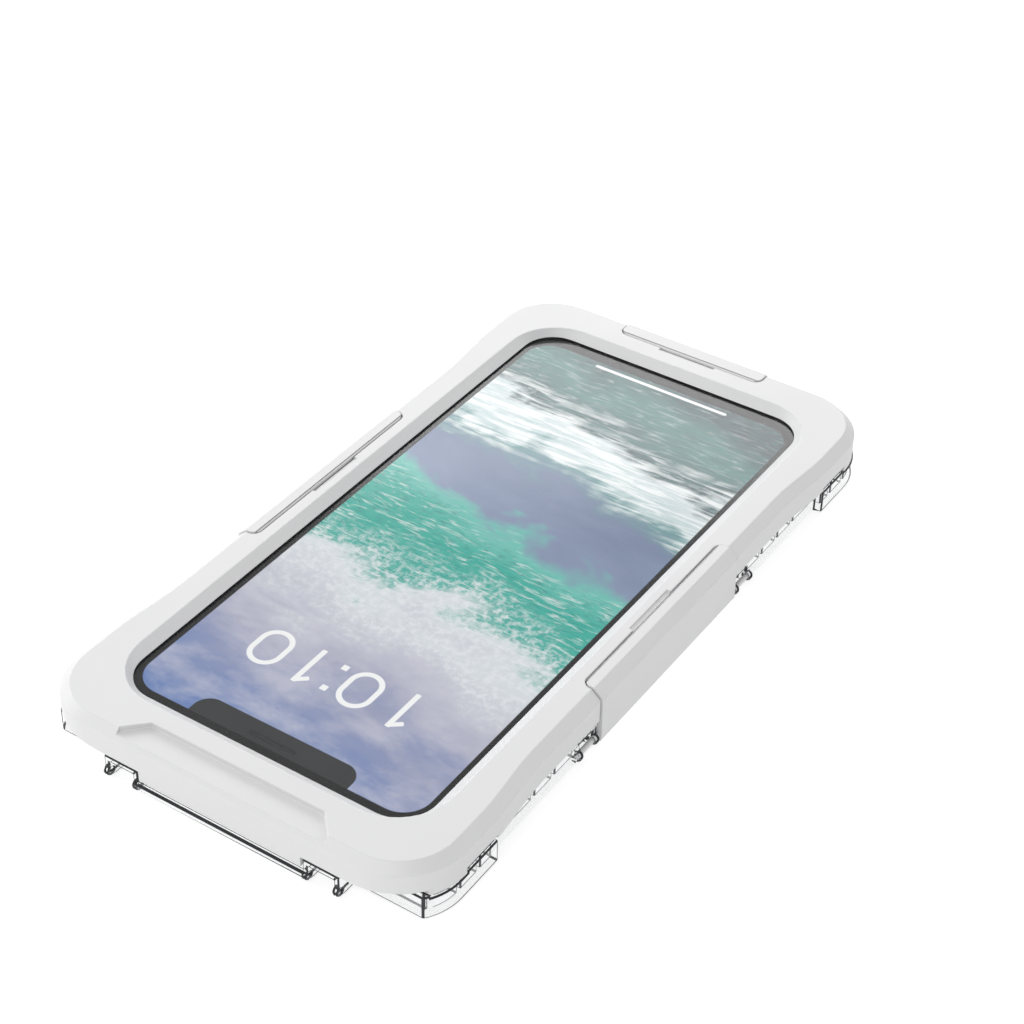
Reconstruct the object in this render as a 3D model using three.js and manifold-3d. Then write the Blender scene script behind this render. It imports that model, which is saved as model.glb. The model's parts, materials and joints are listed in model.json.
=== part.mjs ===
// Waterproof case for a phone, closed round the phone: a white front frame over a clear rear shell,
// held together by hinged latches on both long sides and at the far end.
// Millimetres. +Z is up through the screen, +Y points to the far end and +X to the right long side.
// The origin is the middle of the base, on the surface that the case lies on.

import * as THREE from "three";
import { mergeVertices } from "three/addons/utils/BufferGeometryUtils.js";
import Module from "manifold-3d";

const wasm = await Module();
wasm.setup();

// Clearances
const seatGap = 0.3; // between parts that lie against each other
const filmGap = 0.1; // above and below the flat touch film
const hingeGap = 0.1; // round a trunnion in its ear

// Phone
const phoneLength = 143.6;
const phoneWidth = 70.9;
const phoneThickness = 7.7;
const phoneCorner = 11.5;
const phoneShift = -0.56; // the phone sits this far off the middle, towards the near end
const coverGlass = 0.8;
const backGlass = 0.6;
const backGlassInset = 0.9;
const bandRounding = 1.6;
const displayEndBorder = 4.3; // from the phone's end to the display
const displaySideBorder = 4.25;
const displayCorner = 6;
const displayThickness = 0.6;
const cameraWidth = 10;
const cameraLength = 21;
const cameraHeight = 1;
const cameraFromSide = 6.5; // from the phone's side to the bump
const cameraFromEnd = 6.5; // from the phone's end to the bump
const lensRadius = 3.4;
const lensSpacing = 11.4;
const lensDepth = 0.5;
const flashRadius = 1.1;
const keyProud = 0.15; // of the phone's side, inside the gap that the shell leaves
const keyDepth = 0.8; // from a key's face to its back
const keyHeight = 2;
const earpieceLength = 10;
const earpieceWidth = 0.8;
const earpieceSunk = 0.05; // below the cover glass's face
const earpieceGap = 0.1; // round the mesh in its slot
const earpieceFromEnd = 6;

// Rear shell
const floorThickness = 2; // under the phone
const channelFloor = 1.2; // between the inner and the outer wall
const shellWall = 1.8; // inner wall, round the phone
const endRoom = 0.9; // from the phone's middle position to the inner wall, at each end
const outerWall = 0.8;
const shellCorner = 12;
const shellSideInset = 0.5; // outer wall inside the frame's side
const shellEndInset = 4.35; // end wall inside the frame's end
const partingHeight = 5.3; // lower edge of the frame's skirt
const cameraPocketSkin = 0.7; // floor left under the camera bump
const bumperLength = 22.55; // corner bumper, from the frame's end along the side
const ribThickness = 0.9;
const ribFirst = 6.3; // from the outer ear to the first rib
const ribPitch = 6.5;
const ribCount = 3;
const bumperRibFirst = 6.2; // from the case's end to the first rib in a bumper
const bumperRibPitch = 5.8;
const bumperRibCount = 3;

// Front frame
const channel = 1.75; // air between the inner wall and the skirt, at the sides
const endChannel = 5.05; // the same at the ends
const skirtWall = 2.2;
const rimThickness = 1.64;
const windowEndLap = 1.74; // frame over the phone's end
const windowSideLap = 2.97;
const frameCorner = 12.9;
const windowCorner = 7.2;
const bevelRun = 2.26;
const bevelCorner = 11.6; // upper edge of the bevel round the window
const chamferDrop = 1.84;
const sideChamferRun = 2.05;
const endChamferRun = 1.55;
const flare = 1.3; // the corners stand out from the sides
const flareFromEnd = 20.75;
const flareLength = 17;
const flareSteps = 5;
const cornerRise = 0.8; // the skirt's lower edge is higher round the corners
const cornerRiseStart = 27.5; // from the middle of the end, where the edge begins to rise
const cornerRiseRun = 8;
const cornerLipDrop = 0.45; // a short lip hangs from each corner
const cornerLipFromEnd = 5.75;
const cornerLipLength = 7.6;

// Film and seal
const filmThickness = 0.2;
const filmOverlap = 2;
const sealWidth = 1.2;
const sealThickness = 0.9;

// Latches
const latchThickness = 1.2;
const latchProud = 0.35; // of the frame's side
const lipProud = 0.2; // of the frame's top
const lipThickness = 0.94;
const lipGap = 0.3; // between the lip's end and the wall of its seat
const lipEase = 0.35; // bevel along the lip's upper edge
const seatEndGap = 0.25;
const seatCorner = 2;
const sideLatchLength = 49;
const endLatchLength = 34.4;
const sideSeatDepth = 4.35; // from the frame's side to the wall of the lip's seat
const endSeatDepth = 5;
const barrelRadius = 1.2;
const heelRadius = 0.65; // rounding of the plate's lower outer edge
const heelHeight = 0.1; // plate's lower edge above the base
const trunnionRadius = 0.55;
const barrelHeight = 1.4; // hinge axis above the base
const axisInset = 0.6; // hinge axis inside the frame's side or end
const notchLength = 13.5; // fingernail notch behind each lip
const notchReach = 0.8; // from the wall of the lip's seat
const notchDepth = 0.45;

// Ears that hold the latches
const earThickness = 1.1;
const sideEarSpacing = 5.4; // from one ear of a pair to the next
const endEarSpacing = 6.6;
const endEarInset = 0.1; // ear's root inside the frame's end
const earRadius = 1.1;
const sideEarStart = 25.2; // from the middle of the side to the inner ear
const endEarStart = 18.2;
const webThickness = 1.25; // between the two ears of a pair
const pocketGap = 0.6; // between a latch's barrel and the floor's edge

// Near end, which has no latch: an open seat, and a tab that hangs between the ears
const nearSeatDepth = 5.75;
const nearSeatLength = 37.8;
const nearSeatSplay = 3.9; // each end of the seat runs out by this much
const tabHeight = 3.05; // lower edge above the base
const barWidth = 1.1;
const barBottom = 1.3;
const barTop = 2.4;

const arcSteps = 10; // facets in a rounded corner
const bandSteps = 3; // facets in the rounding of the phone's band

// Worked-out places
const quarter = Math.PI / 2;
const displayLength = phoneLength - 2 * displayEndBorder;
const displayWidth = phoneWidth - 2 * displaySideBorder;
const windowX = phoneWidth / 2 - windowSideLap;
const windowY = phoneLength / 2 - windowEndLap;
const shellInnerX = phoneWidth / 2 + seatGap;
const shellInnerY = phoneLength / 2 + endRoom;
const shellOuterX = shellInnerX + shellWall;
const shellOuterY = shellInnerY + shellWall;
const halfWidth = shellOuterX + channel + skirtWall; // frame's side, between the flares
const halfLength = shellOuterY + endChannel + skirtWall;
const phoneBottom = floorThickness + seatGap;
const phoneTop = phoneBottom + phoneThickness;
const filmBottom = phoneTop + filmGap;
const rimBottom = filmBottom + filmThickness + filmGap;
const frameTop = rimBottom + rimThickness;
const shoulder = frameTop - chamferDrop; // where the chamfer meets the side
const sealTop = rimBottom - seatGap;
const sealBottom = sealTop - sealThickness;
const innerWallTop = sealBottom - seatGap;
const outerWallTop = partingHeight - seatGap;
const innerCorner = phoneCorner + seatGap;
const shellSide = halfWidth - shellSideInset;
const shellEnd = halfLength - shellEndInset;
const bumperStart = halfLength - bumperLength;
const lipTop = frameTop + lipProud;
const lipBottom = lipTop - lipThickness;
const seatFloor = lipBottom - seatGap;
const bodyBottom = phoneBottom + backGlass + seatGap;
const bodyTop = phoneTop - coverGlass - seatGap;
const cameraBottom = phoneBottom - cameraHeight;

// Keys in the phone's sides: each one's middle from the phone's near end, and its length
const keys = {
  side_key: { side: -1, fromEnd: 44, length: 17 },
  ring_switch: { side: 1, fromEnd: 25.5, length: 5.4 },
  volume_up_key: { side: 1, fromEnd: 38, length: 10.4 },
  volume_down_key: { side: 1, fromEnd: 51.5, length: 10.4 },
};

// Ears along a long side and along an end
const sideEars = {
  start: sideEarStart,
  spacing: sideEarSpacing,
  reach: halfWidth,
  inset: shellSideInset,
  root: shellOuterX,
};
const endEars = {
  start: endEarStart,
  spacing: endEarSpacing,
  reach: halfLength,
  inset: endEarInset,
  root: shellEnd,
};

// The four sides of the case, each turned from +X, with what is different along it
const longSide = {
  reach: halfWidth,
  run: sideChamferRun,
  seat: sideSeatDepth,
  length: sideLatchLength,
  ears: sideEars,
};
const shortSide = {
  reach: halfLength,
  run: endChamferRun,
  seat: endSeatDepth,
  length: endLatchLength,
  ears: endEars,
};
const sides = {
  right: { turn: 0, ...longSide },
  far: { turn: quarter, ...shortSide },
  left: { turn: 2 * quarter, ...longSide },
  near: { turn: -quarter, ...shortSide },
};
const latchedSides = ["right", "far", "left"];

// Materials
function finish(color, roughness, metalness = 0) {
  return new THREE.MeshStandardMaterial({ color, roughness, metalness });
}

function clear(color, roughness, opacity) {
  return new THREE.MeshStandardMaterial({ color, roughness, metalness: 0, opacity, transparent: true });
}

const whitePlastic = finish("#f1f1f0", 0.35);
const clearPlastic = clear("#e6ecef", 0.08, 0.35);
const film = clear("#f4f7f8", 0.06, 0.15);
const silicone = finish("#c9cdd0", 0.6);
const blackGlass = finish("#1b1d1f", 0.08);
const anodised = finish("#8d9092", 0.3, 1);
const lensGlass = finish("#10141c", 0.05);
const screen = finish("#4f8fa0", 0.2);
const speakerMesh = finish("#232527", 0.6, 1);
const diffuser = finish("#f3e6c4", 0.4);

// A closed three.js geometry as a solid that can be cut and joined
function solid(geometry) {
  const bare = geometry.index ? geometry.toNonIndexed() : geometry.clone();
  bare.deleteAttribute("normal");
  bare.deleteAttribute("uv");
  const merged = mergeVertices(bare, 1e-4);
  const vertProperties = new Float32Array(merged.attributes.position.array);
  const triVerts = new Uint32Array(merged.index.array);
  return new wasm.Manifold(new wasm.Mesh({ numProp: 3, vertProperties, triVerts }));
}

function geometryOf(manifold) {
  const { vertProperties, triVerts, numProp } = manifold.getMesh();
  const geometry = new THREE.BufferGeometry();
  const positions = new Float32Array((vertProperties.length / numProp) * 3);
  for (let i = 0; i < positions.length / 3; i++) {
    positions.set(vertProperties.subarray(i * numProp, i * numProp + 3), i * 3);
  }
  geometry.setAttribute("position", new THREE.BufferAttribute(positions, 3));
  geometry.setIndex(new THREE.BufferAttribute(new Uint32Array(triVerts), 1));
  geometry.computeVertexNormals();
  return geometry;
}

// A solid turned with a side of the case
function turned(manifold, turn) {
  const geometry = geometryOf(manifold);
  geometry.rotateZ(turn);
  return solid(geometry);
}

// The same solid across the middle, from +Y to -Y
function mirrored(manifold) {
  const geometry = geometryOf(manifold);
  geometry.scale(1, -1, 1);
  const index = geometry.index.array;
  for (let i = 0; i < index.length; i += 3) {
    const first = index[i];
    index[i] = index[i + 1];
    index[i + 1] = first;
  }
  return solid(geometry);
}

// Plan shapes and upright prisms
function roundedPlan(halfX, halfY, radius) {
  const shape = new THREE.Shape();
  shape.absarc(halfX - radius, halfY - radius, radius, 0, quarter);
  shape.absarc(radius - halfX, halfY - radius, radius, quarter, 2 * quarter);
  shape.absarc(radius - halfX, radius - halfY, radius, 2 * quarter, 3 * quarter);
  shape.absarc(halfX - radius, radius - halfY, radius, 3 * quarter, 4 * quarter);
  shape.closePath();
  return shape;
}

function planOf(points) {
  return new THREE.Shape(points.map(([x, y]) => new THREE.Vector2(x, y)));
}

function extruded(shape, depth) {
  return new THREE.ExtrudeGeometry(shape, { depth, bevelEnabled: false, curveSegments: arcSteps });
}

function prism(shape, bottom, top) {
  const geometry = extruded(shape, top - bottom);
  geometry.translate(0, 0, bottom);
  return solid(geometry);
}

function block(lowX, highX, lowY, highY, bottom, top) {
  const geometry = new THREE.BoxGeometry(highX - lowX, highY - lowY, top - bottom);
  geometry.translate((lowX + highX) / 2, (lowY + highY) / 2, (bottom + top) / 2);
  return solid(geometry);
}

// An outline in X and Z, drawn out along Y from low to high
function section(shape, low, high) {
  const geometry = extruded(shape, high - low);
  geometry.rotateX(quarter);
  geometry.translate(0, high, 0);
  return solid(geometry);
}

// A rod along Y
function rod(x, z, radius, low, high) {
  const geometry = new THREE.CylinderGeometry(radius, radius, high - low, 2 * arcSteps);
  geometry.translate(x, (low + high) / 2, z);
  return solid(geometry);
}

// A disc whose axis is upright
function disc(x, y, radius, bottom, top) {
  const geometry = new THREE.CylinderGeometry(radius, radius, top - bottom, 3 * arcSteps);
  geometry.rotateX(quarter);
  geometry.translate(x, y, (bottom + top) / 2);
  return solid(geometry);
}

// Outline of the case in plan: straight between the flares, standing out at the corners
function caseOutline(halfX, halfY, radius, out, z) {
  const corner = [];
  const flareEnd = Math.min(halfLength - flareFromEnd, halfY - radius);
  for (let i = 0; i <= flareSteps; i++) {
    const t = i / flareSteps;
    const ease = t * t * (3 - 2 * t);
    corner.push([halfX + out * ease, flareEnd - flareLength * (1 - t)]);
  }
  for (let i = 0; i <= arcSteps; i++) {
    const angle = (quarter * i) / arcSteps;
    corner.push([
      halfX + out - radius + radius * Math.cos(angle),
      halfY - radius + radius * Math.sin(angle),
    ]);
  }
  const opposite = corner.map(([x, y]) => [-x, y]).reverse();
  const upper = [...corner, ...opposite];
  const lower = upper.map(([x, y]) => [-x, -y]);
  return [...upper, ...lower].map(([x, y]) => new THREE.Vector3(x, y, z));
}

// Rings of equal length joined one to the next, and the last to the first, as one closed skin
function ringSolid(rings) {
  const points = rings.flat();
  const count = rings[0].length;
  const index = [];
  for (let r = 0; r < rings.length; r++) {
    const next = (r + 1) % rings.length;
    for (let i = 0; i < count; i++) {
      const j = (i + 1) % count;
      const a = r * count + i;
      const b = r * count + j;
      const c = next * count + j;
      const d = next * count + i;
      index.push(a, b, c, a, c, d);
    }
  }
  const geometry = new THREE.BufferGeometry().setFromPoints(points);
  geometry.setIndex(index);
  return solid(geometry);
}

// Latch in section, X outwards from the middle of the case
function latchFaces({ reach, run, seat }) {
  const outer = reach + latchProud;
  const inner = outer - latchThickness;
  const top = new THREE.Vector2(reach - run + latchProud, lipTop);
  const edge = new THREE.Vector2(outer, shoulder + lipProud);
  const along = edge.clone().sub(top).normalize();
  const inward = new THREE.Vector2(along.y, -along.x);
  // Point on the chamfer's line, moved in by depth, at a given x or z
  const atX = (x, depth) => {
    const start = top.clone().addScaledVector(inward, depth);
    return start.y + ((x - start.x) * along.y) / along.x;
  };
  const atZ = (z, depth) => {
    const start = top.clone().addScaledVector(inward, depth);
    return start.x + ((z - start.y) * along.x) / along.y;
  };
  return { outer, inner, top, edge, atX, atZ, wall: reach - seat, axis: reach - axisInset };
}

function latchSection(side) {
  const { outer, inner, top, edge, atX, atZ, wall, axis } = latchFaces(side);
  const lipEnd = wall + lipGap;
  const rootAngle = Math.acos((inner - axis) / barrelRadius);
  const shape = new THREE.Shape();
  shape.moveTo(lipEnd, lipBottom);
  shape.lineTo(atZ(lipBottom, latchThickness), lipBottom);
  shape.lineTo(inner, atX(inner, latchThickness));
  shape.lineTo(inner, barrelHeight + barrelRadius * Math.sin(rootAngle));
  shape.absarc(axis, barrelHeight, barrelRadius, rootAngle, 3 * quarter, false);
  shape.absarc(outer - heelRadius, heelHeight + heelRadius, heelRadius, 3 * quarter, 4 * quarter, false);
  shape.lineTo(outer, edge.y);
  shape.lineTo(top.x, top.y);
  shape.lineTo(lipEnd + lipEase, lipTop);
  shape.lineTo(lipEnd, lipTop - lipEase);
  shape.closePath();
  return shape;
}

// What keeps a latch's lip inside its rounded seat, in plan
function lipPlan(side, half, wallX, radius) {
  const shape = new THREE.Shape();
  const far = side.reach + latchProud + seatGap;
  shape.moveTo(far, -half);
  shape.lineTo(far, half);
  shape.absarc(wallX + radius, half - radius, radius, quarter, 2 * quarter, false);
  shape.absarc(wallX + radius, radius - half, radius, 2 * quarter, 3 * quarter, false);
  shape.closePath();
  return shape;
}

function latch(side) {
  const { wall, axis } = latchFaces(side);
  const half = side.length / 2;
  const lip = lipPlan(side, half, wall + lipGap, seatCorner - lipGap);
  const keep = prism(lip, -barrelRadius, lipTop + seatGap);
  const plate = section(latchSection(side), -half, half).intersect(keep);
  const reach = side.ears.start + side.ears.spacing + earThickness - seatGap;
  return plate.add(rod(axis, barrelHeight, trunnionRadius, -reach, reach));
}

// Room for a latch in the frame: over the top, down the chamfer and the side
function latchSeat(side) {
  const { inner, atX, atZ, wall } = latchFaces(side);
  const face = inner - seatGap;
  const depth = latchThickness + seatGap;
  const half = side.length / 2 + seatEndGap;
  const beyond = side.reach + latchProud + seatGap;
  const above = lipTop + seatGap;
  const profile = planOf([
    [wall, above],
    [wall, seatFloor],
    [atZ(seatFloor, depth), seatFloor],
    [face, atX(face, depth)],
    [face, partingHeight - seatGap],
    [beyond, partingHeight - seatGap],
    [beyond, above],
  ]);
  const plan = prism(lipPlan(side, half, wall, seatCorner), 0, above);
  const seat = section(profile, -half, half).intersect(plan);
  const notchHalf = notchLength / 2;
  const notchFloor = frameTop - notchDepth;
  const notch = block(wall - notchReach, wall + lipGap, -notchHalf, notchHalf, notchFloor, above);
  return turned(seat.add(notch), side.turn);
}

function nearSeat() {
  const half = nearSeatLength / 2;
  const wall = halfLength - nearSeatDepth;
  const plan = planOf([
    [-half, -wall],
    [-half - nearSeatSplay, -wall - nearSeatSplay],
    [-half - nearSeatSplay, -halfLength - seatGap],
    [half + nearSeatSplay, -halfLength - seatGap],
    [half + nearSeatSplay, -wall - nearSeatSplay],
    [half, -wall],
  ]);
  return prism(plan, seatFloor, frameTop + seatGap);
}

function frameBlank() {
  const skirtX = halfWidth - skirtWall;
  const skirtY = halfLength - skirtWall;
  const skirtCorner = frameCorner - skirtWall;
  const topX = halfWidth - sideChamferRun;
  const topY = halfLength - endChamferRun;
  return ringSolid([
    caseOutline(windowX, windowY, windowCorner, 0, rimBottom),
    caseOutline(skirtX, skirtY, skirtCorner, flare, rimBottom),
    caseOutline(skirtX, skirtY, skirtCorner, flare, partingHeight),
    caseOutline(halfWidth, halfLength, frameCorner, flare, partingHeight),
    caseOutline(halfWidth, halfLength, frameCorner, flare, shoulder),
    caseOutline(topX, topY, frameCorner - endChamferRun, flare, frameTop),
    caseOutline(windowX + bevelRun, windowY + bevelRun, bevelCorner, 0, frameTop),
  ]);
}

// Short lips that hang from the skirt at the corners
function cornerLips() {
  const skirtX = halfWidth - skirtWall;
  const skirtY = halfLength - skirtWall;
  const skirtCorner = frameCorner - skirtWall;
  const bottom = partingHeight - cornerLipDrop;
  const top = partingHeight + cornerRise + seatGap;
  const ring = ringSolid([
    caseOutline(skirtX, skirtY, skirtCorner, flare, top),
    caseOutline(skirtX, skirtY, skirtCorner, flare, bottom),
    caseOutline(halfWidth, halfLength, frameCorner, flare, bottom),
    caseOutline(halfWidth, halfLength, frameCorner, flare, top),
  ]);
  return ring.intersect(cornerBands(0));
}

function frontFrame() {
  let frame = frameBlank();
  for (const name of latchedSides) {
    frame = frame.subtract(latchSeat(sides[name]));
  }
  const tabHalf = endEarStart - seatGap;
  const tabTop = partingHeight + seatGap;
  const tab = block(-tabHalf, tabHalf, -halfLength, skirtWall - halfLength, tabHeight, tabTop);
  return frame.subtract(nearSeat()).add(tab).subtract(cornerRelief()).add(cornerLips());
}

// What lifts the skirt's lower edge round the four corners
function cornerRelief() {
  const beyond = halfWidth + flare + seatGap;
  const wedge = planOf([
    [cornerRiseStart, partingHeight],
    [cornerRiseStart, partingHeight - seatGap],
    [beyond, partingHeight - seatGap],
    [beyond, partingHeight + cornerRise],
    [cornerRiseStart + cornerRiseRun, partingHeight + cornerRise],
  ]);
  const corner = section(wedge, bumperStart, halfLength + seatGap);
  const pair = corner.add(mirrored(corner));
  return pair.add(turned(pair, 2 * quarter));
}

// Bands across the case in which the skirt hangs lower at the corners
function cornerBands(margin) {
  const outer = halfLength - cornerLipFromEnd + margin;
  const inner = halfLength - cornerLipFromEnd - cornerLipLength - margin;
  const reach = halfWidth + flare + seatGap;
  const bottom = partingHeight - cornerLipDrop - margin;
  const top = partingHeight + cornerRise + seatGap;
  const far = block(-reach, reach, inner, outer, bottom, top);
  return far.add(block(-reach, reach, -outer, -inner, bottom, top));
}

function earPlate(ears, low) {
  const axis = ears.reach - axisInset;
  const outer = ears.reach - ears.inset;
  const root = ears.root - shellWall / 2;
  const shape = new THREE.Shape();
  shape.moveTo(root, 0);
  shape.lineTo(axis - earRadius, 0);
  shape.lineTo(axis, barrelHeight - earRadius);
  shape.absarc(axis, barrelHeight, earRadius, -quarter, 0, false);
  shape.lineTo(outer, barrelHeight + earRadius);
  shape.lineTo(outer, outerWallTop);
  shape.lineTo(root, outerWallTop);
  shape.closePath();
  return section(shape, low, low + earThickness);
}

// Two ears and the web over them, on both sides of the middle
function earPairs(side) {
  const { ears } = side;
  const axis = ears.reach - axisInset;
  const outer = ears.reach - ears.inset;
  const second = ears.start + ears.spacing;
  const end = second + earThickness;
  const root = ears.root - shellWall / 2;
  const web = block(root, outer, ears.start, end, outerWallTop - webThickness, outerWallTop);
  const bore = rod(axis, barrelHeight, trunnionRadius + hingeGap, ears.start - seatGap, end + seatGap);
  const pair = earPlate(ears, ears.start).add(earPlate(ears, second)).add(web).subtract(bore);
  return turned(pair.add(mirrored(pair)), side.turn);
}

// Space kept free for a latch's barrel between the outermost ears
function latchPocket(side) {
  const { ears } = side;
  const half = ears.start + ears.spacing + earThickness;
  const inner = ears.reach - axisInset - barrelRadius - pocketGap;
  const beyond = ears.reach + flare + seatGap;
  return turned(block(inner, beyond, -half, half, -seatGap, partingHeight + seatGap), side.turn);
}

function shellBlock(inset, bottom, top) {
  const halfX = halfWidth + flare - inset;
  const full = prism(roundedPlan(halfX, halfLength - inset, shellCorner - inset), bottom, top);
  const side = shellSide - inset;
  const end = shellEnd - inset;
  const beyond = halfX + seatGap;
  const start = bumperStart + inset;
  return full
    .intersect(block(-beyond, beyond, -end, end, bottom - seatGap, top + seatGap))
    .subtract(block(side, beyond, -start, start, bottom - seatGap, top + seatGap))
    .subtract(block(-beyond, -side, -start, start, bottom - seatGap, top + seatGap));
}

// Ribs between the inner and the outer wall, in the four corners alike
function shellRibs() {
  const places = [];
  const earEnd = sideEarStart + sideEarSpacing + earThickness;
  for (let i = 0; i < ribCount; i++) {
    places.push(earEnd + ribFirst + ribPitch * i);
  }
  for (let i = 0; i < bumperRibCount; i++) {
    places.push(halfLength - bumperRibFirst - bumperRibPitch * i);
  }
  const reach = halfWidth + flare;
  let ribs = null;
  for (const y of places) {
    for (const end of [-1, 1]) {
      const low = end * y - ribThickness / 2;
      const bar = block(-reach, reach, low, low + ribThickness, channelFloor / 2, outerWallTop);
      ribs = ribs ? ribs.add(bar) : bar;
    }
  }
  const keep = shellBlock(outerWall / 2, 0, outerWallTop);
  return ribs.intersect(keep);
}

function rearShell() {
  const inside = shellBlock(outerWall, channelFloor, partingHeight);
  const outerRing = shellBlock(0, 0, outerWallTop).subtract(inside);
  let shell = outerRing.add(shellRibs()).subtract(cornerBands(seatGap));
  for (const side of Object.values(sides)) {
    shell = shell.subtract(latchPocket(side));
  }
  shell = shell.add(prism(roundedPlan(shellOuterX, shellOuterY, innerCorner + shellWall), 0, innerWallTop));
  for (const side of Object.values(sides)) {
    shell = shell.add(earPairs(side));
  }
  const room = roundedPlan(shellInnerX, shellInnerY, innerCorner);
  shell = shell.subtract(prism(room, floorThickness, innerWallTop + seatGap));
  const barHalf = endEarStart + earThickness / 2;
  const barEnd = halfLength - axisInset + earRadius;
  const bar = block(-barHalf, barHalf, -barEnd, barWidth - barEnd, barBottom, barTop);
  const pocket = cameraPrism(2 * seatGap, cameraPocketSkin, floorThickness + seatGap);
  return shell.add(bar).subtract(pocket);
}

function cameraCentre() {
  return new THREE.Vector2(
    -(phoneWidth / 2 - cameraFromSide - cameraWidth / 2),
    phoneShift - (phoneLength / 2 - cameraFromEnd - cameraLength / 2),
  );
}

function cameraPrism(margin, bottom, top) {
  const half = cameraWidth / 2 + margin;
  const centre = cameraCentre();
  const shape = roundedPlan(half, cameraLength / 2 + margin, half);
  return prism(shape, bottom, top).translate([centre.x, centre.y, 0]);
}

function sealGasket() {
  const middleX = (shellInnerX + shellOuterX) / 2;
  const middleY = (shellInnerY + shellOuterY) / 2;
  const middleCorner = innerCorner + shellWall / 2;
  const half = sealWidth / 2;
  const outer = roundedPlan(middleX + half, middleY + half, middleCorner + half);
  const hole = roundedPlan(middleX - half, middleY - half, middleCorner - half);
  return prism(outer, sealBottom, sealTop).subtract(prism(hole, sealBottom - seatGap, sealTop + seatGap));
}

function touchFilm() {
  const plan = roundedPlan(windowX + filmOverlap, windowY + filmOverlap, windowCorner + filmOverlap);
  return prism(plan, filmBottom, filmBottom + filmThickness);
}

// Phone, from the back up: back glass, camera, metal body with its keys, display panel, cover glass
function phonePrism(inset, bottom, top) {
  const plan = roundedPlan(phoneWidth / 2 - inset, phoneLength / 2 - inset, phoneCorner - inset);
  return prism(plan, bottom, top).translate([0, phoneShift, 0]);
}

function displayPrism(margin, bottom, top) {
  const plan = roundedPlan(displayWidth / 2 + margin, displayLength / 2 + margin, displayCorner + margin);
  return prism(plan, bottom, top).translate([0, phoneShift, 0]);
}

// A key, or with a margin the room round it: an oblong with round ends, drawn out along X
function keyBlock({ side, fromEnd, length }, margin) {
  const half = keyHeight / 2 + margin;
  const face = phoneWidth / 2 + keyProud + margin;
  const back = phoneWidth / 2 + keyProud - keyDepth - margin;
  const geometry = geometryOf(prism(roundedPlan(half, length / 2 + margin, half), back, face));
  geometry.rotateY(quarter);
  if (side < 0) {
    geometry.rotateZ(2 * quarter);
  }
  geometry.translate(0, phoneShift - phoneLength / 2 + fromEnd, (bodyBottom + bodyTop) / 2);
  return solid(geometry);
}

function phoneBody() {
  let body = phonePrism(0, bodyBottom + bandRounding, bodyTop - bandRounding);
  const step = quarter / bandSteps;
  for (let i = 0; i < bandSteps; i++) {
    const inset = bandRounding * (1 - Math.cos(step * (i + 1 / 2)));
    const rise = bandRounding * Math.sin(step * (i + 1));
    body = body.add(phonePrism(inset, bodyBottom + bandRounding - rise, bodyTop - bandRounding + rise));
  }
  for (const key of Object.values(keys)) {
    body = body.subtract(keyBlock(key, seatGap));
  }
  return body.subtract(displayPrism(seatGap, bodyTop - displayThickness - seatGap, phoneTop));
}

function earpiecePrism(margin, bottom, top) {
  const half = earpieceWidth / 2 + margin;
  const plan = roundedPlan(earpieceLength / 2 + margin, half, half);
  return prism(plan, bottom, top).translate([0, phoneShift - phoneLength / 2 + earpieceFromEnd, 0]);
}

function phoneCoverGlass() {
  const plate = phonePrism(0, phoneTop - coverGlass, phoneTop);
  return plate.subtract(earpiecePrism(earpieceGap, phoneTop - coverGlass - seatGap, phoneTop + seatGap));
}

function phoneBackGlass() {
  const plate = phonePrism(backGlassInset, phoneBottom, phoneBottom + backGlass);
  return plate.subtract(cameraPrism(seatGap, phoneBottom - seatGap, phoneBottom + backGlass + seatGap));
}

// Middles of the two lenses, and of the flash between them
function lensPlaces() {
  const centre = cameraCentre();
  return [-1, 1].map((end) => new THREE.Vector2(centre.x, centre.y + (end * lensSpacing) / 2));
}

function cameraDisc(middle, radius, margin) {
  const top = cameraBottom + lensDepth + margin;
  return disc(middle.x, middle.y, radius + margin, cameraBottom - margin, top);
}

function cameraBump() {
  let bump = cameraPrism(0, cameraBottom, phoneBottom + backGlass);
  for (const middle of lensPlaces()) {
    bump = bump.subtract(cameraDisc(middle, lensRadius, seatGap));
  }
  return bump.subtract(cameraDisc(cameraCentre(), flashRadius, seatGap));
}

// Assembly
const object = new THREE.Group();

function place(name, manifold, material, parent = object) {
  const mesh = new THREE.Mesh(geometryOf(manifold), material);
  mesh.name = name;
  parent.add(mesh);
  return mesh;
}

place("front_frame", frontFrame(), whitePlastic);
place("touch_film", touchFilm(), film);
place("seal_gasket", sealGasket(), silicone);
place("rear_shell", rearShell(), clearPlastic);
for (const name of latchedSides) {
  place("latch_" + name, latch(sides[name]), whitePlastic).rotation.z = sides[name].turn;
}

const phone = new THREE.Group();
object.add(phone);
place("phone_body", phoneBody(), anodised, phone);
for (const [name, key] of Object.entries(keys)) {
  place(name, keyBlock(key, 0), anodised, phone);
}
place("phone_display", displayPrism(0, bodyTop - displayThickness, bodyTop), screen, phone);
place("phone_cover_glass", phoneCoverGlass(), blackGlass, phone);
const earpiece = earpiecePrism(0, phoneTop - coverGlass, phoneTop - earpieceSunk);
place("earpiece_mesh", earpiece, speakerMesh, phone);
place("phone_back_glass", phoneBackGlass(), blackGlass, phone);
place("camera_bump", cameraBump(), anodised, phone);
const [nearLens, farLens] = lensPlaces();
place("camera_lens_near", cameraDisc(nearLens, lensRadius, 0), lensGlass, phone);
place("camera_lens_far", cameraDisc(farLens, lensRadius, 0), lensGlass, phone);
place("camera_flash", cameraDisc(cameraCentre(), flashRadius, 0), diffuser, phone);

export default object;
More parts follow.
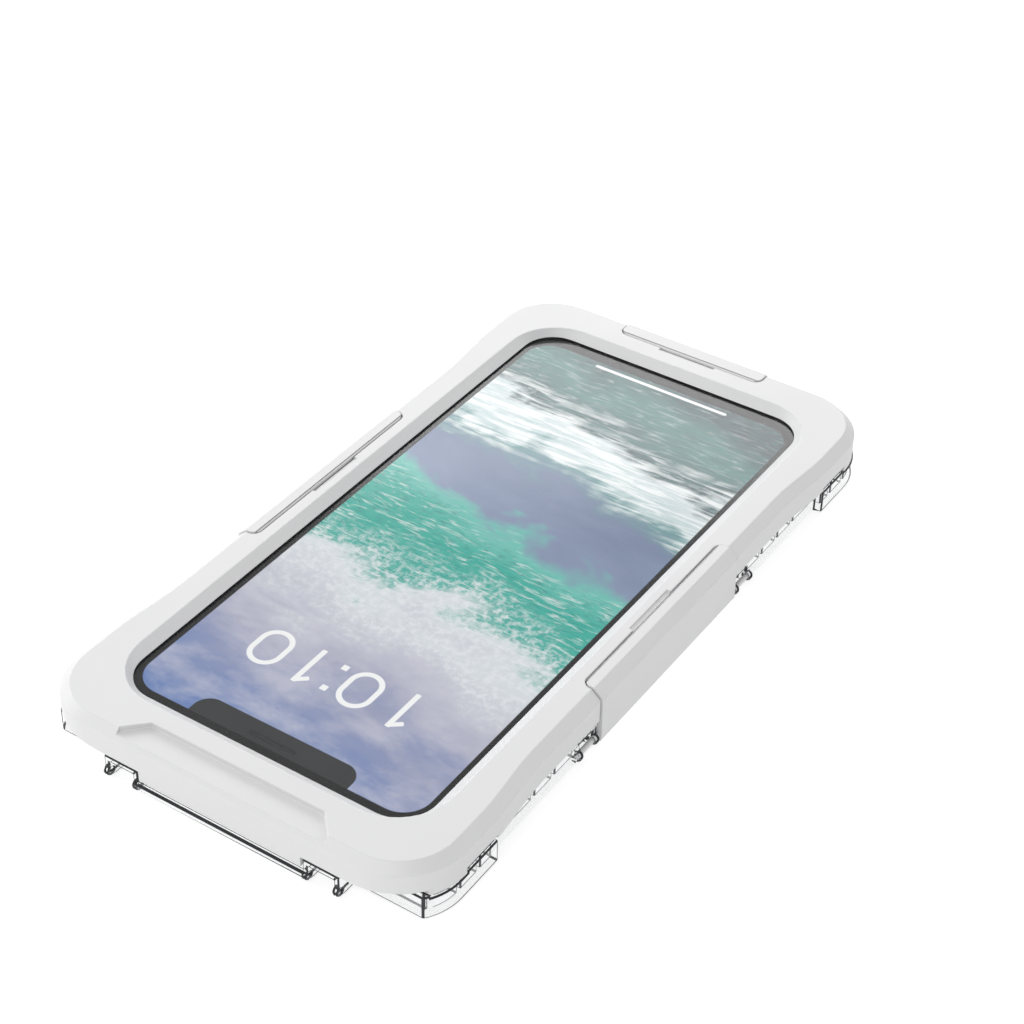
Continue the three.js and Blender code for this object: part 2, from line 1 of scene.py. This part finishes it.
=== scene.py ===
"""Waterproof phone case lying face up on a pale table, closed round a phone with its screen lit.

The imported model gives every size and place. The white mouldings and the clear shell are its solids with their
edges rounded, and the phone's cover glass carries the picture, the black border and the clock.
"""

import json
import math

import bmesh
import bpy
from mathutils import Matrix, Vector

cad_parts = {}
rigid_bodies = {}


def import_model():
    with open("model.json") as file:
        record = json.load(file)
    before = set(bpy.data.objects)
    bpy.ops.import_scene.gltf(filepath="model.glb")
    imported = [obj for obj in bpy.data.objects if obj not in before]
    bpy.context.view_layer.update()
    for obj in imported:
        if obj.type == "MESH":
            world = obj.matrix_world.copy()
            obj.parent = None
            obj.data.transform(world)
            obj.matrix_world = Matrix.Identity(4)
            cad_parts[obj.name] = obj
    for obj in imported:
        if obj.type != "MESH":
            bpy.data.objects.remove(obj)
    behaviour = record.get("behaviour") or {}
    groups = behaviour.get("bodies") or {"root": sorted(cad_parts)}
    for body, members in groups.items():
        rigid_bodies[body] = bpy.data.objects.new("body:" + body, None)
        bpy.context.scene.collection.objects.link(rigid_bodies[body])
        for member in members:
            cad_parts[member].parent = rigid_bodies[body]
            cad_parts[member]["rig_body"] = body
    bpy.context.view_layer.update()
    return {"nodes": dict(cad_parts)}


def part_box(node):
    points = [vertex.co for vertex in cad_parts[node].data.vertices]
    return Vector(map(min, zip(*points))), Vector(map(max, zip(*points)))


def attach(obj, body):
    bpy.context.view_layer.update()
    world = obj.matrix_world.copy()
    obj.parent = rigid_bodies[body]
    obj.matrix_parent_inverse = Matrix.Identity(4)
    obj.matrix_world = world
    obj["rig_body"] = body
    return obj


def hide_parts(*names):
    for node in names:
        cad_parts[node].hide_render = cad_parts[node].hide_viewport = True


MM = 0.001

# Camera, from the photograph's perspective
CAMERA_PLACE = Vector((190.23, -283.40, 282.76)) * MM
CAMERA_AZIMUTH = math.radians(33.0827)
CAMERA_ELEVATION = math.radians(37.7213)
CAMERA_ROLL = math.radians(1.1574)
CAMERA_LENS = 79.34
CAMERA_CLIP = 10 * MM

# Rounding of the mouldings' edges
FRAME_EDGE = 0.16 * MM
LATCH_EDGE = 0.10 * MM
# On the clear shell, this is also the width of the painted dark lines along its edges
SHELL_EDGE = 0.30 * MM
EDGE_STEPS = 2
SHARP_ANGLE = math.radians(28)  # between two faces, where their edge counts as sharp
TURNING = math.cos(math.radians(35))  # between two edges, where one turns off the other
ROOM = 1.1  # length of edge that a rounding needs, in its own widths
TINY_EDGE = 0.06 * MM
FLAT_ANGLE = math.radians(1)
MERGE_DISTANCE = 0.03 * MM

# How far the gloss of an even finish drifts either way, as a share
GLOSS_DRIFT = 0.15

# Sockets of a node that mixes colours
FIRST = 6
SECOND = 7
MIXED = 2

# Screen, measured from the display's middle or from its ends
DISPLAY_CORNER = 5.6 * MM
NOTCH_WIDTH = 35.2 * MM
NOTCH_DEPTH = 4.9 * MM
NOTCH_CORNER = 3.4 * MM
SWIPE_BAR = Vector((32.2, 0.85)) * MM
SWIPE_BAR_CORNER = 0.386 * MM
SWIPE_BAR_FROM_END = 1.55 * MM
CLOCK_FROM_NOTCHED_END = 21.3 * MM
DIGIT = Vector((7.2, 10.0)) * MM
DIGIT_STROKE = 1.08 * MM
DIGIT_PLACES = (13.9 * MM, 4.5 * MM, -7.1 * MM, -15.9 * MM)
COLON_PLACE = -1.3 * MM
COLON_SPREAD = 3.2 * MM
COLON_DOT = 0.68 * MM
COLON_CORNER = 0.227 * MM
FLAG_HALF = 1.37 * MM  # half the slanting stroke of the one
FLAG_ANGLE = math.radians(38)
PRINT_SOFTNESS = 0.08 * MM

# Bands of the picture, in lengths of the display
BAND_WANDER = 0.34
BAND_LEAN = -0.035

# Light
ROOM_LIGHT = 0.55
SCREEN_LIGHT = 0.86
TABLE_LIGHT = 0.77
TABLE_REACH = 3.0


def linear(hex_colour):
    """sRGB hex to linear RGBA."""
    values = [int(hex_colour[i : i + 2], 16) / 255 for i in (1, 3, 5)]
    straight = [v / 12.92 if v <= 0.04045 else ((v + 0.055) / 1.055) ** 2.4 for v in values]
    return (*straight, 1.0)


def node(tree, kind, settings=None, inputs=None, output=0, stops=()):
    """Adds one node with its settings, its ramp's stops and its inputs, and gives one output.

    An input that is a socket is linked, and any other is set. A stop is a place with a colour or a grey.
    """
    made = tree.nodes.new(kind)
    for name, value in (settings or {}).items():
        setattr(made, name, value)
    if stops:
        elements = made.color_ramp.elements
        while len(elements) < len(stops):
            elements.new(0.5)
        for element, (place, tone) in zip(elements, stops):
            element.position = place
            element.color = linear(tone) if isinstance(tone, str) else (tone, tone, tone, 1.0)
    for name, value in (inputs or {}).items():
        if isinstance(value, bpy.types.NodeSocket):
            tree.links.new(value, made.inputs[name])
        else:
            made.inputs[name].default_value = value
    return made.outputs[output] if made.outputs else None


def new_material(name):
    """An empty node material, its tree, and its surface's own coordinates."""
    material = bpy.data.materials.new(name)
    material.use_nodes = True
    tree = material.node_tree
    tree.nodes.clear()
    return material, tree, node(tree, "ShaderNodeTexCoord", output="Object")


def finish_material(tree, inputs):
    """A principled shader with these inputs, as the material's surface."""
    shader = node(tree, "ShaderNodeBsdfPrincipled", inputs=inputs)
    node(tree, "ShaderNodeOutputMaterial", inputs={"Surface": shader})


# Materials
def moulded_abs():
    """White ABS from a finely textured mould: even and satin, with highlights softened by the grain."""
    material, tree, point = new_material("moulded_white_abs")
    cloud = node(
        tree, "ShaderNodeTexNoise", inputs={"Vector": point, "Scale": 1 / (18.18 * MM), "Detail": 2.0}
    )
    tone = node(
        tree, "ShaderNodeMix", {"data_type": "RGBA"},
        {"Factor": cloud, FIRST: linear("#d3d3d3"), SECOND: linear("#cfcfd0")}, output=MIXED,
    )
    # The real grain is about 0.1 mm, and it is drawn as 0.3 mm so that it shows
    grain = node(tree, "ShaderNodeTexNoise", inputs={"Vector": point, "Scale": 1 / (0.3 * MM), "Detail": 2.0})
    bump = node(
        tree, "ShaderNodeBump",
        inputs={"Strength": 0.05, "Distance": 0.03 * MM, "Height": grain}, output="Normal",
    )
    rough = node(tree, "ShaderNodeMapRange", inputs={"Value": cloud, "To Min": 0.42, "To Max": 0.5})
    finish_material(tree, {"Base Color": tone, "Roughness": rough, "Normal": bump, "IOR": 1.5})
    return material


def clear_polycarbonate_painted_glow():
    """Clear polycarbonate, polished in the mould: seen through from straight on, bright at a slant, and with a
    faint painted glow.
    """
    material, tree, point = new_material("clear_polycarbonate_painted_glow")
    flow = node(
        tree, "ShaderNodeTexNoise", inputs={"Vector": point, "Scale": 1 / (8.333 * MM), "Detail": 2.0}
    )
    rough = node(tree, "ShaderNodeMapRange", inputs={"Value": flow, "To Min": 0.04, "To Max": 0.09})
    slant = node(tree, "ShaderNodeFresnel", inputs={"IOR": 1.5})
    cover = node(
        tree, "ShaderNodeMapRange",
        inputs={"Value": slant, "From Min": 0.04, "From Max": 0.40, "To Min": 0.01, "To Max": 0.22},
    )
    # The faint glow is painted light: it stands for the table's light, which the clear plastic passes on
    finish_material(tree, {
        "Base Color": linear("#f7f9fa"), "Roughness": rough, "Alpha": cover, "IOR": 1.58,
        "Emission Color": linear("#f6f8f9"), "Emission Strength": 0.3,
    })
    return material


def polycarbonate_painted_dark_edges():
    """The rounded edges of the clear shell, painted dark grey: painted shade for the light that the plastic
    bends aside there.
    """
    material, tree, point = new_material("clear_polycarbonate_painted_dark_edges")
    flow = node(
        tree, "ShaderNodeTexNoise", inputs={"Vector": point, "Scale": 1 / (3.333 * MM), "Detail": 2.0}
    )
    tone = node(
        tree, "ShaderNodeMix", {"data_type": "RGBA"},
        {"Factor": flow, FIRST: linear("#121416"), SECOND: linear("#303337")}, output=MIXED,
    )
    finish_material(tree, {"Base Color": tone, "Roughness": 0.3, "Specular IOR Level": 0.25, "IOR": 1.58})
    return material


def clear_pet_film():
    """Hard-coated PET film: all but unseen, with a faint haze."""
    material, tree, point = new_material("clear_pet_film")
    haze = node(
        tree, "ShaderNodeTexNoise", inputs={"Vector": point, "Scale": 1 / (16.67 * MM), "Detail": 2.0}
    )
    cover = node(tree, "ShaderNodeMapRange", inputs={"Value": haze, "To Min": 0.004, "To Max": 0.012})
    finish_material(tree, {"Base Color": linear("#ffffff"), "Roughness": 0.06, "Alpha": cover, "IOR": 1.5})
    return material


def drifting_finish(name, light, dark, roughness, patch, metallic=0.0):
    """An even finish whose tone and gloss drift a little over patches of the size given."""
    material, tree, point = new_material(name)
    cloud = node(tree, "ShaderNodeTexNoise", inputs={"Vector": point, "Scale": 1 / patch, "Detail": 3.0})
    tone = node(
        tree, "ShaderNodeMix", {"data_type": "RGBA"},
        {"Factor": cloud, FIRST: linear(light), SECOND: linear(dark)}, output=MIXED,
    )
    rough = node(
        tree, "ShaderNodeMapRange",
        inputs={
            "Value": cloud, "To Min": roughness * (1 - GLOSS_DRIFT), "To Max": roughness * (1 + GLOSS_DRIFT),
        },
    )
    finish_material(tree, {"Base Color": tone, "Roughness": rough, "Metallic": metallic})
    return material


def woven_mesh():
    """Black-coated woven mesh over the earpiece: crossing wires, nearly as dark as the glass round it."""
    material, tree, point = new_material("black_woven_mesh")
    # The real wires are about 0.1 mm apart, and they are drawn 1.57 mm apart so that they show.
    # A wave of scale 1 repeats every 2 pi / 20 of a unit
    scale = 2 * math.pi / 20 / (1.5708 * MM)
    along = node(
        tree, "ShaderNodeTexWave", {"bands_direction": "X"},
        {"Vector": point, "Scale": scale, "Distortion": 0.0}, output="Fac",
    )
    across = node(
        tree, "ShaderNodeTexWave", {"bands_direction": "Y"},
        {"Vector": point, "Scale": scale, "Distortion": 0.0}, output="Fac",
    )
    weave = node(tree, "ShaderNodeMath", {"operation": "MAXIMUM"}, {0: along, 1: across})
    tone = node(
        tree, "ShaderNodeMix", {"data_type": "RGBA"},
        {"Factor": weave, FIRST: linear("#141516"), SECOND: linear("#1e2021")}, output=MIXED,
    )
    finish_material(tree, {"Base Color": tone, "Roughness": 0.2})
    return material


# The screen's picture
def inside_box(tree, point, centre, half, radius):
    """1 inside a box with rounded corners in X and Y, and 0 outside it.

    The place is folded onto one corner, and cut to what lies past the middle of that corner's arc. Its
    length less the radius is the distance to the outline.
    """
    moved = node(
        tree, "ShaderNodeVectorMath", {"operation": "SUBTRACT"}, {0: point, 1: (centre[0], centre[1], 0)}
    )
    flat = node(tree, "ShaderNodeVectorMath", {"operation": "MULTIPLY"}, {0: moved, 1: (1, 1, 0)})
    folded = node(tree, "ShaderNodeVectorMath", {"operation": "ABSOLUTE"}, {0: flat})
    past = node(
        tree, "ShaderNodeVectorMath", {"operation": "SUBTRACT"},
        {0: folded, 1: (half[0] - radius, half[1] - radius, 0)},
    )
    cut = node(tree, "ShaderNodeVectorMath", {"operation": "MAXIMUM"}, {0: past, 1: (0, 0, 0)})
    away = node(tree, "ShaderNodeVectorMath", {"operation": "LENGTH"}, {0: cut}, output="Value")
    return node(
        tree, "ShaderNodeMapRange",
        inputs={
            "Value": away, "From Min": radius - PRINT_SOFTNESS, "From Max": radius + PRINT_SOFTNESS,
            "To Min": 1.0, "To Max": 0.0,
        },
    )


def without(tree, mask, hole):
    """What is in the first mask and not in the second."""
    rest = node(tree, "ShaderNodeMath", {"operation": "SUBTRACT"}, {0: 1.0, 1: hole})
    return node(tree, "ShaderNodeMath", {"operation": "MULTIPLY"}, {0: mask, 1: rest})


def all_of(tree, masks):
    """What is in any of the masks."""
    joined = masks[0]
    for mask in masks[1:]:
        joined = node(tree, "ShaderNodeMath", {"operation": "MAXIMUM"}, {0: joined, 1: mask})
    return joined


def digit_nought(tree, point, centre):
    """A narrow round-ended ring."""
    half = DIGIT / 2
    inner = half - Vector((DIGIT_STROKE, DIGIT_STROKE))
    ring = inside_box(tree, point, centre, half, half.x)
    return without(tree, ring, inside_box(tree, point, centre, inner, inner.x))


def digit_one(tree, point, centre):
    """A bar with a short slanting stroke at its upper end, which points to the screen's notched end."""
    stroke = DIGIT_STROKE / 2
    bar = inside_box(tree, point, centre, (stroke, DIGIT.y / 2), stroke / 2)
    tip = Vector((centre[0], centre[1] - DIGIT.y / 2 + stroke))
    turned = node(
        tree, "ShaderNodeMapping", {"vector_type": "TEXTURE"},
        {"Vector": point, "Location": (tip.x, tip.y, 0), "Rotation": (0, 0, FLAG_ANGLE)},
    )
    flag = inside_box(tree, turned, (FLAG_HALF, 0), (FLAG_HALF, stroke), stroke / 2)
    return all_of(tree, (bar, flag))


def clock(tree, point, middle):
    """Ten past ten, read by someone at the far end of the case."""
    shapes = []
    for place, digit in zip(DIGIT_PLACES, (digit_one, digit_nought, digit_one, digit_nought)):
        shapes.append(digit(tree, point, (place, middle)))
    for side in (-1, 1):
        centre = (COLON_PLACE, middle + side * COLON_SPREAD)
        shapes.append(inside_box(tree, point, centre, (COLON_DOT, COLON_DOT), COLON_CORNER))
    return all_of(tree, shapes)


def noise_patches(tree, point, size, low, high, detail, distortion):
    """0 to 1 in patches of a width and a length in mm, rising between two levels of the noise."""
    scaled = node(
        tree, "ShaderNodeVectorMath", {"operation": "DIVIDE"}, {0: point, 1: (size[0] * MM, size[1] * MM, 1)}
    )
    raw = node(
        tree, "ShaderNodeTexNoise",
        inputs={
            "Vector": scaled, "Scale": 1.0, "Detail": detail, "Roughness": 0.62, "Distortion": distortion,
        },
    )
    return node(tree, "ShaderNodeMapRange", inputs={"Value": raw, "From Min": low, "From Max": high})


def sea_and_sky(tree, point, half):
    """Bands of water, surf, shallows and cloudy sky, one after the other along the screen."""
    unit = node(tree, "ShaderNodeVectorMath", {"operation": "DIVIDE"}, {0: point, 1: (half.x, half.y, 1)})
    across = node(tree, "ShaderNodeSeparateXYZ", inputs={"Vector": unit}, output="X")
    lengthwise = node(tree, "ShaderNodeSeparateXYZ", inputs={"Vector": unit}, output="Y")
    swell = noise_patches(tree, point, (34, 20), 0.0, 1.0, 4.0, 0.4)
    centred = node(tree, "ShaderNodeMath", {"operation": "SUBTRACT"}, {0: swell, 1: 0.5})
    wander = node(tree, "ShaderNodeMath", {"operation": "MULTIPLY"}, {0: centred, 1: BAND_WANDER})
    slant = node(tree, "ShaderNodeMath", {"operation": "MULTIPLY"}, {0: across, 1: BAND_LEAN})
    along = node(tree, "ShaderNodeMath", {"operation": "MULTIPLY_ADD"}, {0: lengthwise, 1: -0.5, 2: 0.5})
    leaned = node(tree, "ShaderNodeMath", {"operation": "ADD"}, {0: along, 1: slant})
    place = node(tree, "ShaderNodeMath", {"operation": "ADD"}, {0: leaned, 1: wander})
    colour = node(tree, "ShaderNodeValToRGB", inputs={"Fac": place}, stops=(
        (0.00, "#34494f"), (0.09, "#4d807b"), (0.16, "#42585f"), (0.185, "#d2dddf"), (0.25, "#c0d3d5"),
        (0.275, "#6b989b"), (0.33, "#7685a3"), (0.41, "#8493b0"), (0.445, "#6cc2b6"), (0.54, "#2faf9e"),
        (0.62, "#4cb3a6"), (0.655, "#dde4e8"), (0.74, "#cbcdd8"), (0.82, "#aeb0c6"), (0.90, "#8d98bd"),
        (1.00, "#6b85bb"),
    ))
    # Each layer: its patches' size in mm, levels, detail and distortion, where it lies, and its colour
    layers = (
        # Ripples on the water, dark then bright, a millimetre or so across
        ((2.6, 0.7), 0.48, 0.72, 6.0, 0.3,
         ((0.0, 0.5), (0.15, 0.6), (0.2, 0.0), (0.44, 0.0), (0.48, 0.75), (0.64, 0.5), (0.67, 0.0)),
         "#2f7f7c"),
        ((5.5, 0.9), 0.53, 0.70, 8.0, 0.8,
         ((0.0, 0.30), (0.15, 0.45), (0.25, 1.0), (0.30, 0.0), (0.43, 0.0), (0.47, 0.7), (0.62, 0.9),
          (0.70, 0.0)), "#eef4f4"),
        # Surf drawn out across the screen
        ((16, 1.6), 0.46, 0.58, 5.0, 0.5, ((0.12, 0.0), (0.16, 0.8), (0.26, 0.9), (0.31, 0.0)), "#f7fafa"),
        # Spray where the shallows end
        ((1.5, 1.5), 0.45, 0.62, 8.0, 0.0, ((0.56, 0.0), (0.62, 0.8), (0.70, 0.7), (0.78, 0.0)), "#eceff2"),
        # Clouds, pale then dark
        ((17, 9), 0.42, 0.66, 5.0, 0.2, ((0.68, 0.0), (0.78, 0.7), (1.0, 0.65)), "#cdcddb"),
        ((22, 13), 0.55, 0.72, 4.0, 0.0,
         ((0.30, 0.0), (0.35, 0.6), (0.41, 0.5), (0.44, 0.0), (0.72, 0.0), (0.80, 0.5), (1.0, 0.5)),
         "#8d93b3"),
    )
    for size, low, high, detail, distortion, stops, paint in layers:
        pattern = noise_patches(tree, point, size, low, high, detail, distortion)
        cover = node(tree, "ShaderNodeValToRGB", inputs={"Fac": place}, stops=stops)
        amount = node(tree, "ShaderNodeMath", {"operation": "MULTIPLY"}, {0: pattern, 1: cover})
        colour = node(
            tree, "ShaderNodeMix", {"data_type": "RGBA"},
            {"Factor": amount, FIRST: colour, SECOND: linear(paint)}, output=MIXED,
        )
    return colour


def printed_cover_glass(low, high):
    """Cover glass printed black round its edge, over a lit display: glossy, with a notch at the near end."""
    material, tree, point = new_material("printed_cover_glass")
    centre = (low + high) / 2
    half = (high - low) / 2
    local = node(
        tree, "ShaderNodeVectorMath", {"operation": "SUBTRACT"}, {0: point, 1: (centre.x, centre.y, 0)}
    )
    display = inside_box(tree, local, (0, 0), half, DISPLAY_CORNER)
    notch = inside_box(
        tree, local, (0, -half.y - NOTCH_CORNER), (NOTCH_WIDTH / 2, NOTCH_DEPTH + NOTCH_CORNER), NOTCH_CORNER
    )
    lit = without(tree, display, notch)
    bar = inside_box(
        tree, local, (0, half.y - SWIPE_BAR_FROM_END), SWIPE_BAR / 2, SWIPE_BAR_CORNER
    )
    digits = clock(tree, local, -half.y + CLOCK_FROM_NOTCHED_END)
    marks = all_of(tree, (bar, digits))
    picture = node(
        tree, "ShaderNodeMix", {"data_type": "RGBA"},
        {"Factor": marks, FIRST: sea_and_sky(tree, local, half), SECOND: linear("#fdfefe")}, output=MIXED,
    )
    print_tone = node(
        tree, "ShaderNodeMix", {"data_type": "RGBA"},
        {"Factor": display, FIRST: linear("#000000"), SECOND: linear("#2c2d2e")}, output=MIXED,
    )
    glow = node(
        tree, "ShaderNodeMix", {"data_type": "RGBA"},
        {"Factor": lit, FIRST: print_tone, SECOND: picture}, output=MIXED,
    )
    finish_material(tree, {
        "Base Color": linear("#141516"), "Roughness": 0.12, "IOR": 1.45,
        "Emission Color": glow, "Emission Strength": SCREEN_LIGHT,
    })
    return material


# Pieces
def has_room(edge, width):
    """Whether the edges that turn off at its ends are longer than the rounding is wide, and none is tiny."""
    for corner in edge.verts:
        along = (edge.other_vert(corner).co - corner.co).normalized()
        for other in corner.link_edges:
            away = (other.other_vert(corner).co - corner.co).normalized()
            needed = ROOM * width if abs(along.dot(away)) < TURNING else TINY_EDGE
            if other is not edge and other.calc_length() < needed:
                return False
    return True


def marked_copy(source, name, width):
    """A solid's mesh with its doubles merged and its flat faces whole, and its sharp edges marked.

    A sharp edge with room has a bevel weight of 1, and any other is only marked sharp.
    """
    mesh = source.data.copy()
    mesh.name = name
    mesh.attributes.remove(mesh.attributes["custom_normal"])
    shape = bmesh.new()
    shape.from_mesh(mesh)
    bmesh.ops.remove_doubles(shape, verts=shape.verts, dist=MERGE_DISTANCE)
    bmesh.ops.dissolve_limit(shape, angle_limit=FLAT_ANGLE, verts=shape.verts, edges=shape.edges)
    weight = shape.edges.layers.float.new("bevel_weight_edge")
    for face in shape.faces:
        face.smooth = True
    for edge in shape.edges:
        if edge.calc_face_angle(0.0) > SHARP_ANGLE:
            rounded = has_room(edge, width)
            edge[weight] = float(rounded)
            edge.smooth = rounded
    shape.to_mesh(mesh)
    shape.free()
    return mesh


def rounded_copy(frame, source_name, name, materials, width):
    """Stands for one solid of the model: the same form with its edges rounded, on the same body."""
    source = frame["nodes"][source_name]
    mesh = marked_copy(source, name, width)
    mesh.materials.clear()
    for material in materials:
        mesh.materials.append(material)
    piece = bpy.data.objects.new(name, mesh)
    bpy.context.scene.collection.objects.link(piece)
    bevel = piece.modifiers.new("rounded_edges", "BEVEL")
    bevel.limit_method = "WEIGHT"
    bevel.width = width
    bevel.segments = EDGE_STEPS
    bevel.harden_normals = True
    bevel.use_clamp_overlap = False
    # The rounded faces take the last finish, which on the clear shell is painted dark shade
    bevel.material = len(materials) - 1
    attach(piece, source["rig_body"])
    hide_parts(source_name)


def give_material(frame, name, material):
    """Gives a solid of the model its finish."""
    materials = frame["nodes"][name].data.materials
    materials.clear()
    materials.append(material)


# Surroundings
def area_light(name, place, size, power):
    """A soft light aimed at the case."""
    data = bpy.data.lights.new(name, "AREA")
    data.shape = "RECTANGLE"
    data.size, data.size_y = size
    data.energy = power
    lamp = bpy.data.objects.new(name, data)
    turn = (-place).to_track_quat("-Z", "Y").to_matrix().to_4x4()
    lamp.matrix_world = Matrix.Translation(place) @ turn
    bpy.context.scene.collection.objects.link(lamp)


def add_lights():
    """An even white room, with soft lights in front, at the left, behind and at the far right."""
    world = bpy.data.worlds.new("white_room")
    world.use_nodes = True
    background = world.node_tree.nodes["Background"]
    background.inputs["Color"].default_value = linear("#ffffff")
    background.inputs["Strength"].default_value = ROOM_LIGHT
    bpy.context.scene.world = world
    bpy.context.scene.view_settings.view_transform = "Standard"
    # Each light: where it is and its two sides in metres, and its power in watts
    area_light("near", Vector((0.11, -0.79, 0.77)), (0.7, 0.5), 4.5)
    area_light("left", Vector((-0.88, -0.18, 0.40)), (0.8, 0.5), 4.7)
    area_light("behind", Vector((-0.35, 0.60, 0.34)), (0.9, 0.3), 3.2)
    area_light("far_right", Vector((0.67, 0.79, 0.60)), (0.6, 0.5), 1.4)


def add_table():
    """A white light table: opal acrylic, lit evenly from below, that runs out of the picture."""
    material, tree, point = new_material("opal_acrylic_table")
    cloud = node(
        tree, "ShaderNodeTexNoise", inputs={"Vector": point, "Scale": 1 / (125 * MM), "Detail": 2.0}
    )
    tone = node(
        tree, "ShaderNodeMix", {"data_type": "RGBA"},
        {"Factor": cloud, FIRST: linear("#9c9c9c"), SECOND: linear("#989898")}, output=MIXED,
    )
    finish_material(tree, {
        "Base Color": tone, "Roughness": 0.6,
        "Emission Color": linear("#ffffff"), "Emission Strength": TABLE_LIGHT,
    })
    corners = [(x * TABLE_REACH, y * TABLE_REACH, 0) for x, y in ((-1, -1), (1, -1), (1, 1), (-1, 1))]
    mesh = bpy.data.meshes.new("table")
    mesh.from_pydata(corners, [], [(0, 1, 2, 3)])
    mesh.materials.append(material)
    table = bpy.data.objects.new("table", mesh)
    bpy.context.scene.collection.objects.link(table)


def add_camera():
    """The photograph's view, from the near right and above."""
    flat = math.cos(CAMERA_ELEVATION)
    back = Vector((
        math.sin(CAMERA_AZIMUTH) * flat, -math.cos(CAMERA_AZIMUTH) * flat, math.sin(CAMERA_ELEVATION)
    ))
    level = Vector((math.cos(CAMERA_AZIMUTH), math.sin(CAMERA_AZIMUTH), 0))
    above = back.cross(level)
    right = level * math.cos(CAMERA_ROLL) + above * math.sin(CAMERA_ROLL)
    up = above * math.cos(CAMERA_ROLL) - level * math.sin(CAMERA_ROLL)
    data = bpy.data.cameras.new("camera")
    data.lens = CAMERA_LENS
    data.clip_start = CAMERA_CLIP
    camera = bpy.data.objects.new("camera", data)
    turn = Matrix((right, up, back)).transposed().to_4x4()
    camera.matrix_world = Matrix.Translation(CAMERA_PLACE) @ turn
    bpy.context.scene.collection.objects.link(camera)
    bpy.context.scene.camera = camera


# Everything put together
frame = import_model()

white = moulded_abs()
rounded_copy(frame, "front_frame", "front_frame_moulding", [white], FRAME_EDGE)
for side in ("right", "far", "left"):
    rounded_copy(frame, f"latch_{side}", f"latch_{side}_moulding", [white], LATCH_EDGE)
# The shell's second finish is painted shade: dark grey on its rounded edges
shell_materials = [clear_polycarbonate_painted_glow(), polycarbonate_painted_dark_edges()]
rounded_copy(frame, "rear_shell", "rear_shell_moulding", shell_materials, SHELL_EDGE)

# Blasted and anodised aluminium: grey metal with a fine satin sheen
anodised = drifting_finish("anodised_aluminium", "#8d9093", "#84878a", 0.3, 2.5 * MM, metallic=1.0)
# Coated lens glass: nearly black, with a hint of blue and clear reflections
lens_glass = drifting_finish("coated_lens_glass", "#0f141d", "#090c12", 0.05, 1.5 * MM)
# Pressed silicone: milky grey and dull
silicone = drifting_finish("pressed_silicone", "#c6cacd", "#bcc0c3", 0.6, 8 * MM)
# Back of a display panel: dark foil with a soft shine
panel = drifting_finish("display_panel", "#202528", "#181c1f", 0.3, 10 * MM)
# Glass painted black on its inner face: deep black and glossy
back_glass = drifting_finish("black_back_glass", "#1c1e20", "#17191b", 0.12, 20 * MM)
# Frosted diffuser over the flash: warm white, with no clear reflection
diffuser = drifting_finish("frosted_diffuser", "#f1e5c6", "#e8dab4", 0.4, 1.0 * MM)
finishes = {
    "touch_film": clear_pet_film(),
    "seal_gasket": silicone,
    "phone_body": anodised,
    "side_key": anodised,
    "ring_switch": anodised,
    "volume_up_key": anodised,
    "volume_down_key": anodised,
    "camera_bump": anodised,
    "phone_display": panel,
    "phone_cover_glass": printed_cover_glass(*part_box("phone_display")),
    "phone_back_glass": back_glass,
    "earpiece_mesh": woven_mesh(),
    "camera_lens_near": lens_glass,
    "camera_lens_far": lens_glass,
    "camera_flash": diffuser,
}
for name, material in finishes.items():
    give_material(frame, name, material)

add_table()
add_lights()
add_camera()
